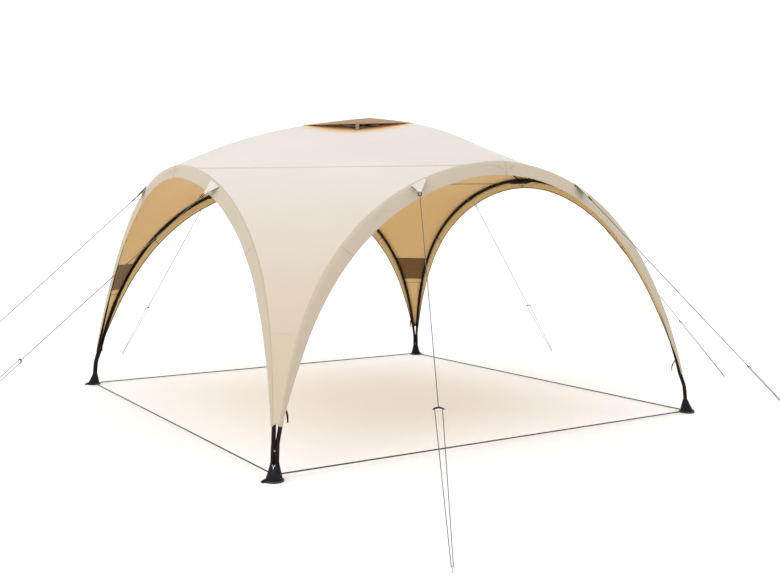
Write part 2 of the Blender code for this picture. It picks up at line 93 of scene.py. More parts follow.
shelter = {
    "half": 1.75,                        # half the distance between foot centres
    "rise": (0.534, 2.529, -1.238),      # height of the crease, in powers of sin t
    "spread": (0.148, -0.025, -0.115),   # widening of the plain cosine, in even powers of sin t
    "lean": (-0.133, 0.797, -0.557),     # lean towards the middle, in powers of sin t
    "clothStart": 15.4,                  # t in degrees where the cloth of a corner ends, above the foot
    "seamAngle": 80,                     # t where the roof seam meets the crease
    "seamBlend": 4,                      # and the degrees either side in which corner cloth turns to roof
    "legTop": 30,                        # t where the leg tube ends and the arch pole begins
    "bandWidth": (0.026, 0.248, -0.135, -0.055),  # width of the eave band, in powers of sin t
    "bandTuck": (0.36, 15, 7),           # its lower end narrows by this share, at t and within these degrees
    "bandFlare": (-0.041, 0.324, -0.165),  # radians that it leans out of the arch's plane, zeroth power first
    "poleDrop": (0.0075, 0.0150),        # pole's centre below the crease, at the legs and at the top
    "poleInset": (0.0154, 0.0126),       # and towards the middle of the shelter
    "poleShift": (40, 75),               # the angles between which it moves from the one place to the other
}


def powers(name, t, first=1, step=1):
    # sum of a factor times a power of sin t for each factor, t in degrees
    s = np.sin(np.radians(np.asarray(t, float)))
    return sum(factor * s**(first + i * step) for i, factor in enumerate(shelter[name]))


def crease(t):
    # along = -half cos t (1 + spread), out = -half + lean, up = rise
    along = -shelter["half"] * np.cos(np.radians(np.asarray(t, float))) * (1 + powers("spread", t, 2, 2))
    return np.stack([along, -shelter["half"] + powers("lean", t), powers("rise", t)], axis=-1)


def creaseTangent(t):
    return unit(crease(np.asarray(t, float) + 0.5) - crease(np.asarray(t, float) - 0.5))


def doorwayNormal(t):
    # the crease's tangent turned a quarter in the arch's upright plane, pointing into the doorway
    tangent = creaseTangent(t)
    return unit(np.stack([tangent[..., 2], np.zeros(tangent.shape[:-1]), -tangent[..., 0]], axis=-1))


def bandDirection(t):
    flare = powers("bandFlare", t, 0)[..., None]
    return doorwayNormal(t) * np.cos(flare) - toBack * np.sin(flare)


def bandWidth(t):
    share, place, reach = shelter["bandTuck"]
    low = np.minimum(t, 180 - np.asarray(t, float))
    return (powers("bandWidth", t) * (1 - share * np.exp(-((low - place) / reach)**2)))[..., None]


def polePath(t):
    # inside the fold of corner cloth and band: crease + doorway normal * drop + inwards * inset
    t = np.asarray(t, float)
    top = smoothStep(*shelter["poleShift"], np.minimum(t, 180 - t))[..., None]
    drop, inset = (shelter[k][0] * (1 - top) + shelter[k][1] * top for k in ("poleDrop", "poleInset"))
    return crease(t) + doorwayNormal(t) * drop + toBack * inset


def angleAtHeight(height):
    t = np.linspace(shelter["clothStart"], 85, 701)
    return float(np.interp(height, crease(t)[:, 2], t))


def angleAlong(place):
    t = np.linspace(shelter["clothStart"], 180 - shelter["clothStart"], 1501)
    return float(np.interp(place, crease(t)[:, 0], t))


roof = {
    "crown": 2.224,              # height of the roof's middle over the ribs
    "sag": 0.206,                # the cloth hangs lower between the ribs by this, times two powers,
    "sagPowers": (0.76, 0.79),   # of the share of the way to the edge and of the rest of it
    "sagReach": 0.124,           # length over which the sag grows beside a rib
    "ribRound": 0.024,           # length over which the cloth bends round a rib
    "hole": 0.30,                # half the width of the vent hole, a square with round corners
    "slopeShare": 0.98,          # share of the way out from which the slope at the edge is taken
    "rings": 44, "archColumns": 24, "seamColumns": 28,
    "edgeInset": 0.004,          # how far the cloth stays inside the crease
    "easing": 14, "easeReach": 5, "easeFrom": 0.86,  # rounds, columns that they reach, and first ring
    "wave": 0.0028, "waveSize": 0.55,
}
roofReach = -float(crease(90)[1])


def roofHeight(bearing, ratio, edgeHeight, radius):
    # crown - (crown - edge) r^2 - sag r^a (1 - r)^b (1 - exp(-d / reach)), with d the distance from the rib
    aside = radius * np.minimum(np.abs(np.cos(bearing)), np.abs(np.sin(bearing)))
    aside = np.sqrt(aside**2 + roof["ribRound"]**2) - roof["ribRound"]
    outer, inner = roof["sagPowers"]
    sag = roof["sag"] * ratio**outer * np.maximum(1 - ratio, 0)**inner
    sag = sag * (1 - np.exp(-aside / roof["sagReach"]))
    return roof["crown"] - (roof["crown"] - edgeHeight) * ratio**2 - sag


def cornerPoint(t, share):
    # the corner cloth: level lines from the front crease, share 0, to the left crease, share 1
    front = crease(t)
    return front * (1 - share) + swapped(front) * share


def cornerNormal(t):
    # outwards from the middle of the corner cloth
    t = np.asarray(t)
    return unit(np.cross(toRight - toBack, cornerPoint(t + 0.5, 0.5) - cornerPoint(t - 0.5, 0.5)))


def cornerWidth(t):
    return np.linalg.norm(crease(t) - swapped(crease(t)), axis=-1)


def clothInward(t):
    # direction in the cloth, square to the crease, from the crease into the corner or the roof
    t = np.asarray(t, float)
    point, tangent = crease(t), creaseTangent(t)
    level = np.stack([np.where(t < 90, -1.0, 1.0), np.ones_like(t), np.zeros_like(t)], axis=-1)
    radius = np.hypot(point[..., 0], point[..., 1])
    bearing = np.arctan2(point[..., 1], point[..., 0])
    near = roof["slopeShare"]
    slope = (roofHeight(bearing, near, point[..., 2], near * radius) - point[..., 2]) / ((1 - near) * radius)
    radial = np.stack([-point[..., 0] / radius, -point[..., 1] / radius, slope], axis=-1)
    seam, blend = shelter["seamAngle"], shelter["seamBlend"]
    onRoof = smoothStep(seam - blend, seam + blend, np.where(t < 90, t, 180 - t))[..., None]
    across = unit(level) * (1 - onRoof) + unit(radial) * onRoof
    return unit(across - tangent * dot(across, tangent))


def clothNormal(t):
    return unit(np.cross(creaseTangent(t), clothInward(t)))


# Shapes. Each is a grid of points with its UV in metres, and grids that meet are welded in the piece.

def gridShape(grid, uv=None, look=0):
    rows, columns = grid.shape[:2]
    if uv is None:
        steps = np.cumsum(np.linalg.norm(np.diff(grid, axis=1), axis=-1), axis=1)
        across = np.concatenate([np.zeros((rows, 1)), steps], axis=1)
        uv = np.stack(np.broadcast_arrays(across, lengthsAlong(grid[:, columns // 2])[:, None]), axis=-1)
    index = np.arange(rows * columns).reshape(rows, columns)
    faces = np.stack([index[:-1, :-1], index[:-1, 1:], index[1:, 1:], index[1:, :-1]], axis=-1)
    return {"points": grid.reshape(-1, 3), "uv": uv.reshape(-1, 2), "faces": faces.reshape(-1, 4),
            "look": look}


def capped(grid, ends=None):
    # a closed tube of rings gets a point at each end, to which a fan of faces runs
    ends = grid[[0, -1], :-1].mean(axis=1) if ends is None else ends
    first, last = (np.broadcast_to(end, grid[:1].shape) for end in ends)
    return np.concatenate([first, grid, last])


def fullTurn(steps):
    return np.linspace(0, 2 * math.pi, steps + 1)


def oval(angle, wide, high, power=1.0):
    # superellipse: x = a sign(cos) |cos|^power, y = b sign(sin) |sin|^power
    c, s = np.cos(angle), np.sin(angle)
    return np.stack([wide * np.sign(c) * np.abs(c)**power, high * np.sign(s) * np.abs(s)**power], axis=-1)


def circle(radius, steps=16):
    return oval(fullTurn(steps), radius, radius)


def softBox(width, thickness, steps=16, power=0.5):
    return oval(fullTurn(steps) + math.pi / steps, width / 2, thickness / 2, power)


def sweep(path, profile, reference, scale=1.0, closed=False, look=0):
    # profile carried along a path: centre + side * x + upright * y, where side is the reference direction
    # made square to the path, and both ends are closed unless the path is a ring
    path = np.asarray(path, float)
    if closed:
        tangent = np.roll(path[:-1], -1, axis=0) - np.roll(path[:-1], 1, axis=0)
        tangent = np.concatenate([tangent, tangent[:1]])
    else:
        tangent = np.gradient(path, axis=0)
    tangent = unit(tangent)
    side = unit(reference - tangent * dot(tangent, np.asarray(reference, float)))
    upright = np.cross(tangent, side)
    scale = np.broadcast_to(np.asarray(scale, float), (len(path),))[:, None, None]
    x, y = profile[None, :, :1], profile[None, :, 1:]
    sections = path[:, None] + (side[:, None] * x + upright[:, None] * y) * scale
    along = lengthsAlong(path)
    if not closed:
        sections = capped(sections, path[[0, -1]])
        along = np.concatenate([along[:1], along, along[-1:]])
    uv = np.stack(np.broadcast_arrays(lengthsAlong(profile)[None, :], along[:, None]), axis=-1)
    return gridShape(sections, uv, look)


def ribbon(left, right, normal, thickness, look=0):
    # a closed strip between two lines of points, thickened along the normal
    half = normal * thickness / 2
    ring = np.stack([left + half, right + half, right - half, left - half, left + half], axis=1)
    return gridShape(capped(ring), look=look)


def addMesh(name, shapes, looks, turns=0, closed=True, sharp=35):
    # joins the shapes, welds what meets, and points the faces of closed shells outwards
    shapes = shapes if isinstance(shapes, list) else [shapes]
    starts = np.cumsum([0] + [len(s["points"]) for s in shapes])
    points = quarterTurned(np.concatenate([s["points"] for s in shapes]), turns)
    faces = np.concatenate([s["faces"] + start for s, start in zip(shapes, starts)])
    uv = np.concatenate([s["uv"] for s in shapes])[faces.ravel()]
    look = np.concatenate([np.full(len(s["faces"]), s["look"]) for s in shapes])
    mesh = bpy.data.meshes.new(name)
    mesh.vertices.add(len(points))
    mesh.vertices.foreach_set("co", points.astype(np.float32).ravel())
    mesh.loops.add(faces.size)
    mesh.loops.foreach_set("vertex_index", faces.astype(np.int32).ravel())
    mesh.polygons.add(len(faces))
    mesh.polygons.foreach_set("loop_start", np.arange(0, faces.size, 4, dtype=np.int32))
    mesh.polygons.foreach_set("material_index", look.astype(np.int32))
    mesh.update(calc_edges=True)
    mesh.uv_layers.new(name="UVMap").data.foreach_set("uv", uv.astype(np.float32).ravel())
    shell = bmesh.new()
    shell.from_mesh(mesh)
    bmesh.ops.remove_doubles(shell, verts=shell.verts, dist=1e-5)
    if closed:
        bmesh.ops.recalc_face_normals(shell, faces=shell.faces)
    shell.to_mesh(mesh)
    shell.free()
    mesh.shade_smooth()
    mesh.set_sharp_from_angle(angle=math.radians(sharp))
    for material in looks:
        mesh.materials.append(material)
    piece = bpy.data.objects.new(name, mesh)
    bpy.context.scene.collection.objects.link(piece)
    return piece


def addPiece(name, shapes, looks, slotName, nodes=(), turns=0, **options):
    piece = addMesh(name, shapes, looks, turns, **options)
    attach(piece, "root")
    if nodes:
        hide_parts(*nodes)
    return piece


def addSheet(name, grid, looks, slotName, nodes=(), turns=0, uv=None, thickness=0.0015):
    # an open sheet whose second look is its inner side, given its thickness by Solidify
    piece = addPiece(name, gridShape(grid, uv), looks, slotName, nodes, turns, closed=False)
    solid = piece.modifiers.new("thickness", "SOLIDIFY")
    solid.thickness = thickness
    solid.offset = 0.0
    solid.use_even_offset = True
    solid.material_offset = 1
    solid.material_offset_rim = 1 if len(looks) == 2 else 2
    return piece


def addFour(add, places, name, shape, looks, slotName, node=None, **options):
    # the same piece at each side or corner, whose name takes the place of {} in the names
    return [add(name.format(place), shape, looks, slotName, [node.format(place)] if node else (), k,
                **options)
            for k, place in enumerate(places)]


def gridNormals(grid):
    return unit(np.cross(np.gradient(grid, axis=1), np.gradient(grid, axis=0)))


def ripples(points, size, seed, count=9):
    # mean of sines of the place along directions drawn once from a fixed seed, from about -1 to 1
    draw = np.random.default_rng(seed)
    waves = unit(draw.normal(size=(count, 3))) * (2 * math.pi / size * draw.uniform(0.6, 1.5, (count, 1)))
    phase = draw.uniform(0, 2 * math.pi, count)
    return np.sin(points @ waves.T + phase).mean(axis=-1) * 1.8


def puckers(place, folds):
    # sum of short ridges: height * exp(-(along / length)^2 - (across / width)^2), each turned by its angle
    total = np.zeros(place.shape[:-1])
    for x, y, angle, length, width, height in folds:
        c, s = math.cos(math.radians(angle)), math.sin(math.radians(angle))
        dx, dy = place[..., 0] - x, place[..., 1] - y
        total += height * np.exp(-((dx * c + dy * s) / length)**2 - ((dy * c - dx * s) / width)**2)
    return total


print("helpers ready")


# Finishes

weave = {"roughness": 0.82, "thread": 0.0012, "depth": 0.00025, "uneven": 0.004, "crownPower": 1.25}
grain = {"coarse": 11.25, "fine": 540.0, "depth": 0.0002}
wavePeriod = 0.314           # metres from band to band of a wave texture whose scale is 1


def makeMaterial(name, colour, roughness, **sockets):
    material = bpy.data.materials.new(name)
    material.use_nodes = True
    shader = material.node_tree.nodes["Principled BSDF"]
    for socket, value in {"Base_Color": (*colour, 1.0), "Roughness": roughness, **sockets}.items():
        shader.inputs[socket.replace("_", " ")].default_value = value
    return material, material.node_tree, shader


def addNode(tree, kind, inputs=None, **settings):
    # each input is linked to an output of another node, or gets a value
    node = tree.nodes.new("ShaderNode" + kind)
    for key, value in settings.items():
        setattr(node, key, value)
    for key, value in (inputs or {}).items():
        if isinstance(value, bpy.types.NodeSocket):
            tree.links.new(value, node.inputs[key])
        else:
            node.inputs[key].default_value = value
    return node


def connect(tree, shader, **outputs):
    for socket, output in outputs.items():
        tree.links.new(output, shader.inputs[socket.replace("_", " ")])


def mixColours(tree, share, first, second, blend="MIX"):
    first, second = (c if isinstance(c, bpy.types.NodeSocket) else (*c, 1.0) for c in (first, second))
    mix = addNode(tree, "Mix", {0: share, 6: first, 7: second}, data_type="RGBA", blend_type=blend)
    return mix.outputs[2]


def noise(tree, vector, scale, detail=2.0):
    return addNode(tree, "TexNoise", {"Vector": vector, "Scale": scale, "Detail": detail}).outputs["Fac"]


def waves(tree, vector, pitch, axis="Y"):
    inputs = {"Vector": vector, "Scale": wavePeriod / pitch}
    return addNode(tree, "TexWave", inputs, bands_direction=axis).outputs["Fac"]


def calculate(tree, operation, *values):
    return addNode(tree, "Math", dict(enumerate(values)), operation=operation).outputs[0]


def ranged(tree, value, low, high, toLow=0.0, toHigh=1.0, kind="LINEAR"):
    # a value between low and high becomes one between toLow and toHigh
    inputs = {"Value": value, "From Min": low, "From Max": high, "To Min": toLow, "To Max": toHigh}
    return addNode(tree, "MapRange", inputs, interpolation_type=kind).outputs[0]


def bump(tree, height, strength, distance, **inputs):
    sockets = {"Height": height, "Strength": strength, "Distance": distance, **inputs}
    return addNode(tree, "Bump", sockets).outputs[0]


def clothMaterial(name, low, high=None, heights=(0.35, 1.75), stain=0.05, crown=None):
    # cloth whose colour goes from low to high with the height, with faint cloudy patches, and with woven
    # threads from two crossed wave textures on the UV over a soft unevenness
    material, tree, shader = makeMaterial(name, high or low, weave["roughness"], Sheen_Weight=0.12,
                                          Sheen_Roughness=0.6, Specular_IOR_Level=0.25)
    place = addNode(tree, "TexCoord").outputs
    woven = calculate(tree, "MULTIPLY", *(waves(tree, place["UV"], weave["thread"], axis) for axis in "XY"))
    soft = bump(tree, noise(tree, place["Object"], 3.2, 3.0), 1.0, weave["uneven"])
    split = addNode(tree, "SeparateXYZ", {0: place["Object"]}).outputs
    base = mixColours(tree, ranged(tree, split["Z"], *heights, kind="SMOOTHSTEP"), low, high or low)
    if crown:
        # painted light and shade round the middle, within a square of rounded sides: |x|^1.25 + |y|^1.25
        power = weave["crownPower"]
        parts = [calculate(tree, "POWER", calculate(tree, "ABSOLUTE", split[axis]), power) for axis in "XY"]
        far = calculate(tree, "ADD", *parts)
        around = ranged(tree, far, crown[0]**power, crown[1]**power, kind="SMOOTHSTEP")
        base = mixColours(tree, around, crown[2], base)
    patch = ranged(tree, noise(tree, place["Object"], 1.7, 4.0), 0.3, 0.7, 1 - stain)
    speck = ranged(tree, noise(tree, place["UV"], 420.0), 0.0, 1.0, 0.96, 1.03)
    tinted = mixColours(tree, 1.0, base, patch, "MULTIPLY")
    connect(tree, shader, Base_Color=mixColours(tree, 1.0, tinted, speck, "MULTIPLY"),
            Normal=bump(tree, woven, 0.6, weave["depth"], Normal=soft))
    return material


def hardMaterial(name, colour, worn, roughness, **sockets):
    # moulded or painted: fine grain in roughness and bump, a little paler where a coarse noise is high
    material, tree, shader = makeMaterial(name, colour, roughness, **sockets)
    place = addNode(tree, "TexCoord").outputs["Object"]
    share = ranged(tree, noise(tree, place, grain["coarse"], 5.0), 0.5, 0.75)
    fine = noise(tree, place, grain["fine"])
    connect(tree, shader, Base_Color=mixColours(tree, share, colour, worn),
            Normal=bump(tree, fine, 0.5, grain["depth"]),
            Roughness=ranged(tree, fine, 0.0, 1.0, roughness - 0.08, roughness + 0.1))
    return material


def ribbedMaterial(name, dark, light, pitch, slant):
    # webbing or braided cord: slanted ribs on the UV, in colour and bump
    material, tree, shader = makeMaterial(name, light, 0.8, Sheen_Weight=0.1)
    place = addNode(tree, "TexCoord").outputs["UV"]
    turned = addNode(tree, "Mapping", {"Vector": place, "Rotation": (0.0, 0.0, slant)}).outputs[0]
    ribs = waves(tree, turned, pitch)
    connect(tree, shader, Base_Color=mixColours(tree, ribs, dark, light),
            Normal=bump(tree, ribs, 0.8, 0.0004))
    return material


# name: colour low down, colour high up if that differs, and the crown's inner and outer reach and colour,
# which is painted light and shade round the middle
cloths = {
    # darker and warmer low down: partly the cloth's own warmer tone, partly painted shade, as the lower cloth
    # gets less of the top light
    "cream canvas": dict(low=(0.535, 0.435, 0.325), high=(0.618, 0.573, 0.518), heights=(0.55, 1.85)),
    # painted light and shade: the tan ring round the roof's middle stands for the tan-tinted shade under the
    # vent cap, made bright to make up for the cap's real shadow
    "cream roof canvas": dict(low=(0.612, 0.575, 0.528), crown=(0.550, 0.690, (0.700, 0.430, 0.200))),
    # painted shade: the same cream cloth as the corners, darker because the band faces out and a little down
    # and gets less light
    "shaded cream canvas of the eaves": dict(low=(0.470, 0.390, 0.292), high=(0.495, 0.424, 0.328)),
    # painted light: both tan insides are lighter than the cloth looks, standing in for the light that shines
    # through the cloth, which the shader leaves out
    "tan inside of the canvas": dict(low=(0.720, 0.500, 0.225), high=(0.680, 0.450, 0.190)),
    "tan inside of the eaves": dict(low=(0.690, 0.505, 0.230)),
    "tan vent cloth": dict(low=(0.300, 0.160, 0.055), stain=0.10),
    # painted shade: the dark middle of the cap's underside stands for the dark inside seen through the gap
    # under the cap
    "underside of the vent cloth": dict(low=(0.600, 0.350, 0.150), stain=0.10,
                                        crown=(0.360, 0.440, (0.060, 0.030, 0.010))),
    "brown pocket cloth": dict(low=(0.165, 0.085, 0.021), stain=0.12),
}
# name: dark and light colour, pitch of the ribs and their slant in radians
tapes = {
    "brown seam thread": ((0.20, 0.14, 0.08), (0.300, 0.215, 0.130), 0.0030, 0.6),
    "pale seam thread": ((0.45, 0.40, 0.33), (0.560, 0.505, 0.430), 0.0030, 0.6),
    # painted shade: the pale seam thread, darker to match the shaded eave band
    "shaded seam thread of the eaves": ((0.36, 0.30, 0.23), (0.44, 0.37, 0.28), 0.0030, 0.6),
    "dark hem binding": ((0.09, 0.06, 0.03), (0.130, 0.085, 0.045), 0.0015, 0.0),
    "black webbing": ((0.008, 0.007, 0.007), (0.026, 0.023, 0.022), 0.0018, 0.0),
    "dark grey ground webbing": ((0.016, 0.016, 0.017), (0.042, 0.042, 0.044), 0.0020, 0.5),
    "dark grey braided cord": ((0.045, 0.045, 0.045), (0.120, 0.120, 0.118), 0.0022, 0.9),
}
# name: colour, worn colour, roughness, and other sockets
hardParts = {
    # painted light: the brown tint in the black stands for warm light falling on the tubes
    "black painted steel tube": ((0.010, 0.006, 0.004), (0.020, 0.012, 0.008), 0.60,
                                 {"Specular_IOR_Level": 0.10}),
    "black foot plastic": ((0.006, 0.006, 0.008), (0.016, 0.016, 0.019), 0.55, {"Specular_IOR_Level": 0.12}),
    # light grey line at the top edge of the foot's disc
    "light grey plastic of the rim": ((0.130, 0.127, 0.130), (0.22, 0.215, 0.21), 0.45, {}),
    "tan prop plastic": ((0.26, 0.150, 0.092), (0.32, 0.20, 0.13), 0.55, {}),
    "bright steel": ((0.62, 0.62, 0.61), (0.50, 0.49, 0.47), 0.30, {"Metallic": 0.9}),
}
canvasOut, roofOut, shadedBandOut, canvasIn, bandIn, ventCloth, ventUnder, pocketCloth = (
    clothMaterial(name, **look) for name, look in cloths.items())
threadTape, paleTape, shadedBandTape, bindingTape, blackWebbing, strapWebbing, guyCord = (
    ribbedMaterial(name, *look) for name, look in tapes.items())
poleSteel, footPlastic, rimPlastic, propPlastic, brightSteel = (
    hardMaterial(name, *look[:3], **look[3]) for name, look in hardParts.items())
print("finishes ready")


# Roof

def roofGrid():
    # rings from the hole to the eight-sided edge of arch tops and seams, as height over a bearing
    top = crease(np.linspace(shelter["seamAngle"], 180 - shelter["seamAngle"], roof["archColumns"] + 1))
    share = np.linspace(0, 1, roof["seamColumns"] + 1)[1:-1, None]
    seam = top[-1] * (1 - share) + quarterTurned(top[0], 1) * share
    quarter = np.concatenate([top, seam])
    edge = np.concatenate([quarterTurned(quarter, k) for k in range(4)] + [quarter[:1]])
    onArch = np.append(np.tile(np.arange(len(quarter)) < len(top), 4), True)
    bearing = np.arctan2(edge[:, 1], edge[:, 0])
    reach = np.hypot(edge[:, 0], edge[:, 1])
    ring = np.linspace(0, 1, roof["rings"])[:, None]
    # the hole's radius is half its width / fourth root of (cos^4 + sin^4), a square with round corners
    holeReach = roof["hole"] / (np.cos(bearing)**4 + np.sin(bearing)**4)**0.25
    radius = holeReach * (1 - ring) + (reach - roof["edgeInset"] * onArch) * ring
    height = roofHeight(bearing, radius / reach, edge[:, 2], radius)
    grid = np.stack([radius * np.cos(bearing), radius * np.sin(bearing), height], axis=-1)
    # the bend that runs in from each end of a seam is eased by repeated means of neighbours, not at the edge
    place = np.arange(len(quarter) * 4) % len(quarter)
    away = np.min(np.abs(place[:, None] - [0, roof["archColumns"], len(quarter)]), axis=-1)
    ease = (np.exp(-(away / roof["easeReach"])**2) * smoothStep(1.0, roof["easeFrom"], ring))[..., None]
    rings = grid[:, :-1]
    for _ in range(roof["easing"]):
        mean = (np.roll(rings, 1, axis=1) + 2 * rings + np.roll(rings, -1, axis=1)) / 4
        rings = rings + (mean - rings) * ease
    grid = np.concatenate([rings, rings[:, :1]], axis=1)
    loose = np.sin(math.pi * ring)**0.7 * np.abs(np.sin(2 * bearing))**0.5
    return grid + gridNormals(grid) * (ripples(grid, roof["waveSize"], 3) * roof["wave"] * loose)[..., None]


roofPoints = roofGrid()
roofPiece = addSheet("roof_cloth", roofPoints[:, ::-1], [roofOut, canvasIn], "canvas", ["roof_panel"])
print("roof", len(roofPiece.data.polygons))


# Corner panels

cornerCloth = {
    "rows": 150, "columns": 57,
    "edgeInset": 0.007,      # how far the panel's edge stays from the crease, under the band's lap
    "hemRise": 0.016,        # the lower hem is this much higher in its middle
    "wave": 0.0030, "waveSize": 0.42,
    # folds as place across, height, direction in degrees, length, width and depth
    "folds": [(-0.004, 0.345, 62, 0.040, 0.006, 0.0026), (0.010, 0.350, 66, 0.034, 0.005, -0.0016),
              (0.012, 0.335, 112, 0.026, 0.006, 0.0020), (-0.03, 0.62, 84, 0.16, 0.020, 0.0012),
              (0.05, 0.70, 97, 0.18, 0.022, 0.0012)],
}


def cornerSurface(t, share):
    # a level line between the creases at each t, its hem lifted in the middle, and its folds and ripples
    low, high = shelter["clothStart"], shelter["seamAngle"]
    t, share = np.broadcast_arrays(np.asarray(t, float), np.asarray(share, float))
    points = cornerPoint(t, share[..., None])
    middle = 1 - np.abs(2 * share - 1)
    points[..., 2] += cornerCloth["hemRise"] * middle * np.exp(-(t - low) / 3)
    place = np.stack([(share - 0.5) * cornerWidth(t), points[..., 2]], axis=-1)
    loose = np.sin(math.pi * np.clip(share, 0, 1))
    loose = loose * smoothStep(low, low + 3, t) * smoothStep(high, high - 6, t)
    lift = ripples(points, cornerCloth["waveSize"], 8) * cornerCloth["wave"] * loose
    lift = lift + puckers(place, cornerCloth["folds"]) * smoothStep(0, 0.12, middle)
    return points + cornerNormal(t) * lift[..., None], place


def insetShare(t, inset, share):
    # a share across the panel that starts and ends at a length from its edges
    edge = inset / cornerWidth(t)
    return edge + share * (1 - 2 * edge)


cornerAngles = np.linspace(shelter["clothStart"], shelter["seamAngle"], cornerCloth["rows"])[:, None]
cornerPoints, cornerPlace = cornerSurface(cornerAngles, insetShare(
    cornerAngles, cornerCloth["edgeInset"], np.linspace(0, 1, cornerCloth["columns"])))
cornerPieces = addFour(addSheet, corners, "corner_cloth_{}", cornerPoints[:, ::-1], [canvasOut, canvasIn],
                       "canvas", "corner_panel_{}", uv=cornerPlace[:, ::-1])
print("corner cloths", len(cornerPieces))


# Lines sewn on the corner panels: the roof seam at the top and a cross seam low down, outside and inside

seams = {"width": 0.005, "thickness": 0.0010, "offset": 0.0014, "crossHeight": 0.80, "inset": 0.004}


def levelSeam(upper, inside):
    # a ribbon along a level line of the corner panel, a little off the cloth
    lower = angleAtHeight(float(crease(upper)[2]) - seams["width"])
    share = np.linspace(seams["inset"], 1 - seams["inset"], 61)
    off = cornerNormal(upper) * seams["offset"] * (-1 if inside else 1)
    return ribbon(cornerSurface(lower, share)[0] + off, cornerSurface(upper, share)[0] + off,
                  cornerNormal(upper), seams["thickness"], look=int(inside))


seamShapes = [levelSeam(upper, inside)
              for upper in (shelter["seamAngle"], angleAtHeight(seams["crossHeight"]))
              for inside in (False, True)]
seamPieces = addFour(addPiece, corners, "seam_tape_{}", seamShapes, [paleTape, threadTape], "canvas")
print("seams", len(seamPieces))


# Eave bands, folded over the crease from a lap on the roof and corner cloths

band = {
    "fold": 0.012,           # length of cloth on each side of the crease that bends round it
    "lap": 0.008,            # length that goes on over the roof or the corner panel
    "narrow": 0.6,           # both are shorter by this share at the lower ends
    "lift": 0.0015,          # height of the lap over that cloth
    "rows": 301, "foldRows": 7, "bandRows": 12,
    "wave": 0.0022, "waveSize": 0.24,
    # folds as place across from the crease, place along from the peak, direction, length, width and depth
    "folds": [(0.030, -0.058, 63, 0.036, 0.0070, 0.0140), (0.030, 0.043, 125, 0.030, 0.0065, 0.0130),
              (0.044, -0.145, 63, 0.042, 0.0080, 0.0090), (0.058, 0.004, 90, 0.030, 0.0060, 0.0060),
              *((0.024, side * place, 90 + side * turn, 0.034, 0.0065, height) for side in (-1, 1)
                for place, turn, height in ((1.015, 34, 0.0075), (1.095, -30, 0.0075), (1.055, 80, 0.0055)))],
    "seamAngles": (48, 90, 132), "seamWidth": 0.004,
    "binding": 0.0062,       # width of the dark strip inside the hem
    "bindingRise": 0.0018,   # its distance from the hem's edge
    "bindingOff": 0.00095,   # and from the middle of the cloth
    "bindingThickness": 0.0010,
}
archAngles = np.linspace(shelter["clothStart"], 180 - shelter["clothStart"], band["rows"])
archLengths = lengthsAlong(crease(archAngles))
archLengths -= archLengths[-1] / 2


def bandSurface(t):
    # across: a lap on the cloth, a Bezier fold round the crease, and the straight band down to its hem
    low, folded = shelter["clothStart"], band["fold"]
    t = np.asarray(t, float)[:, None]
    narrow = 1 - band["narrow"] * smoothStep(low + 30, low + 4, np.minimum(t, 180 - t))[..., None]
    top, into, normal, down, width = crease(t), clothInward(t), clothNormal(t), bandDirection(t), bandWidth(t)
    lifted = top + normal * band["lift"]
    u = np.linspace(0, 1, band["foldRows"])[None, :, None]
    start, end = lifted + into * (folded * narrow), top + down * (folded * narrow)
    fold = start * (1 - u)**2 + 2 * u * (1 - u) * (top + normal * band["lift"] / 2) + end * u**2
    lap = lifted + into * (folded * narrow + band["lap"] * narrow)
    share = np.linspace(0, 1, band["bandRows"])[None, 1:, None]
    hang = top + down * (folded * narrow + (width - folded * narrow) * share)
    outward = np.cross(creaseTangent(t), down)
    loose = share * smoothStep(low, low + 12, t)[..., None] * smoothStep(180 - low, 168 - low, t)[..., None]
    hang = hang + outward * ripples(hang, band["waveSize"], 21)[..., None] * band["wave"] * loose
    points = np.concatenate([lap, fold, hang], axis=1)
    across = np.concatenate([[-folded - band["lap"]], np.linspace(-folded, folded, band["foldRows"]),
                             np.linspace(folded, float(bandWidth(90)[0]), band["bandRows"])[1:]])
    place = np.stack(np.broadcast_arrays(across[None, :], np.interp(t, archAngles, archLengths)), axis=-1)
    facing = gridNormals(points)
    lift = puckers(place, band["folds"]) * smoothStep(-0.02, -0.008, place[..., 0])
    return points + facing * lift[..., None], place, facing


bandPoints, bandPlace, bandFacing = bandSurface(archAngles)
bandPieces = addFour(addSheet, sides, "eave_cloth_{}", bandPoints, [shadedBandOut, bandIn], "canvas",
                     "eave_band_{}",
                     uv=bandPlace)


def hemBinding():
    # a dark strip along the inner side of the hem
    facing, thickness = bandFacing[:, -1], band["bindingThickness"]
    up = unit(bandPoints[:, -3] - bandPoints[:, -1])
    edge = bandPoints[:, -1] - facing * (band["bindingOff"] + thickness / 2)
    return ribbon(edge + up * band["bindingRise"], edge + up * (band["bindingRise"] + band["binding"]),
                  facing,
                  thickness)


def bandSeam(t, inside):
    # a ribbon across the band, from the lap to the hem
    step = band["seamWidth"] / 2 / np.linalg.norm(crease(t + 0.5) - crease(t - 0.5))
    points, _, facing = bandSurface([t - step, t, t + step])
    off = facing[1] * seams["offset"] * (-1 if inside else 1)
    return ribbon(points[0] + off, points[2] + off, facing[1], seams["thickness"], look=0 if inside else 1)


hemShapes = [hemBinding(), *(bandSeam(t, inside) for t in band["seamAngles"] for inside in (False, True))]
hemPieces = addFour(addPiece, sides, "eave_hem_{}", hemShapes, [bindingTape, shadedBandTape], "canvas")
print("eave bands", len(bandPieces), "hems", len(hemPieces))


# Vent cap, a square sheet with its corners on the ribs, over the hole of the roof, and props under its edges

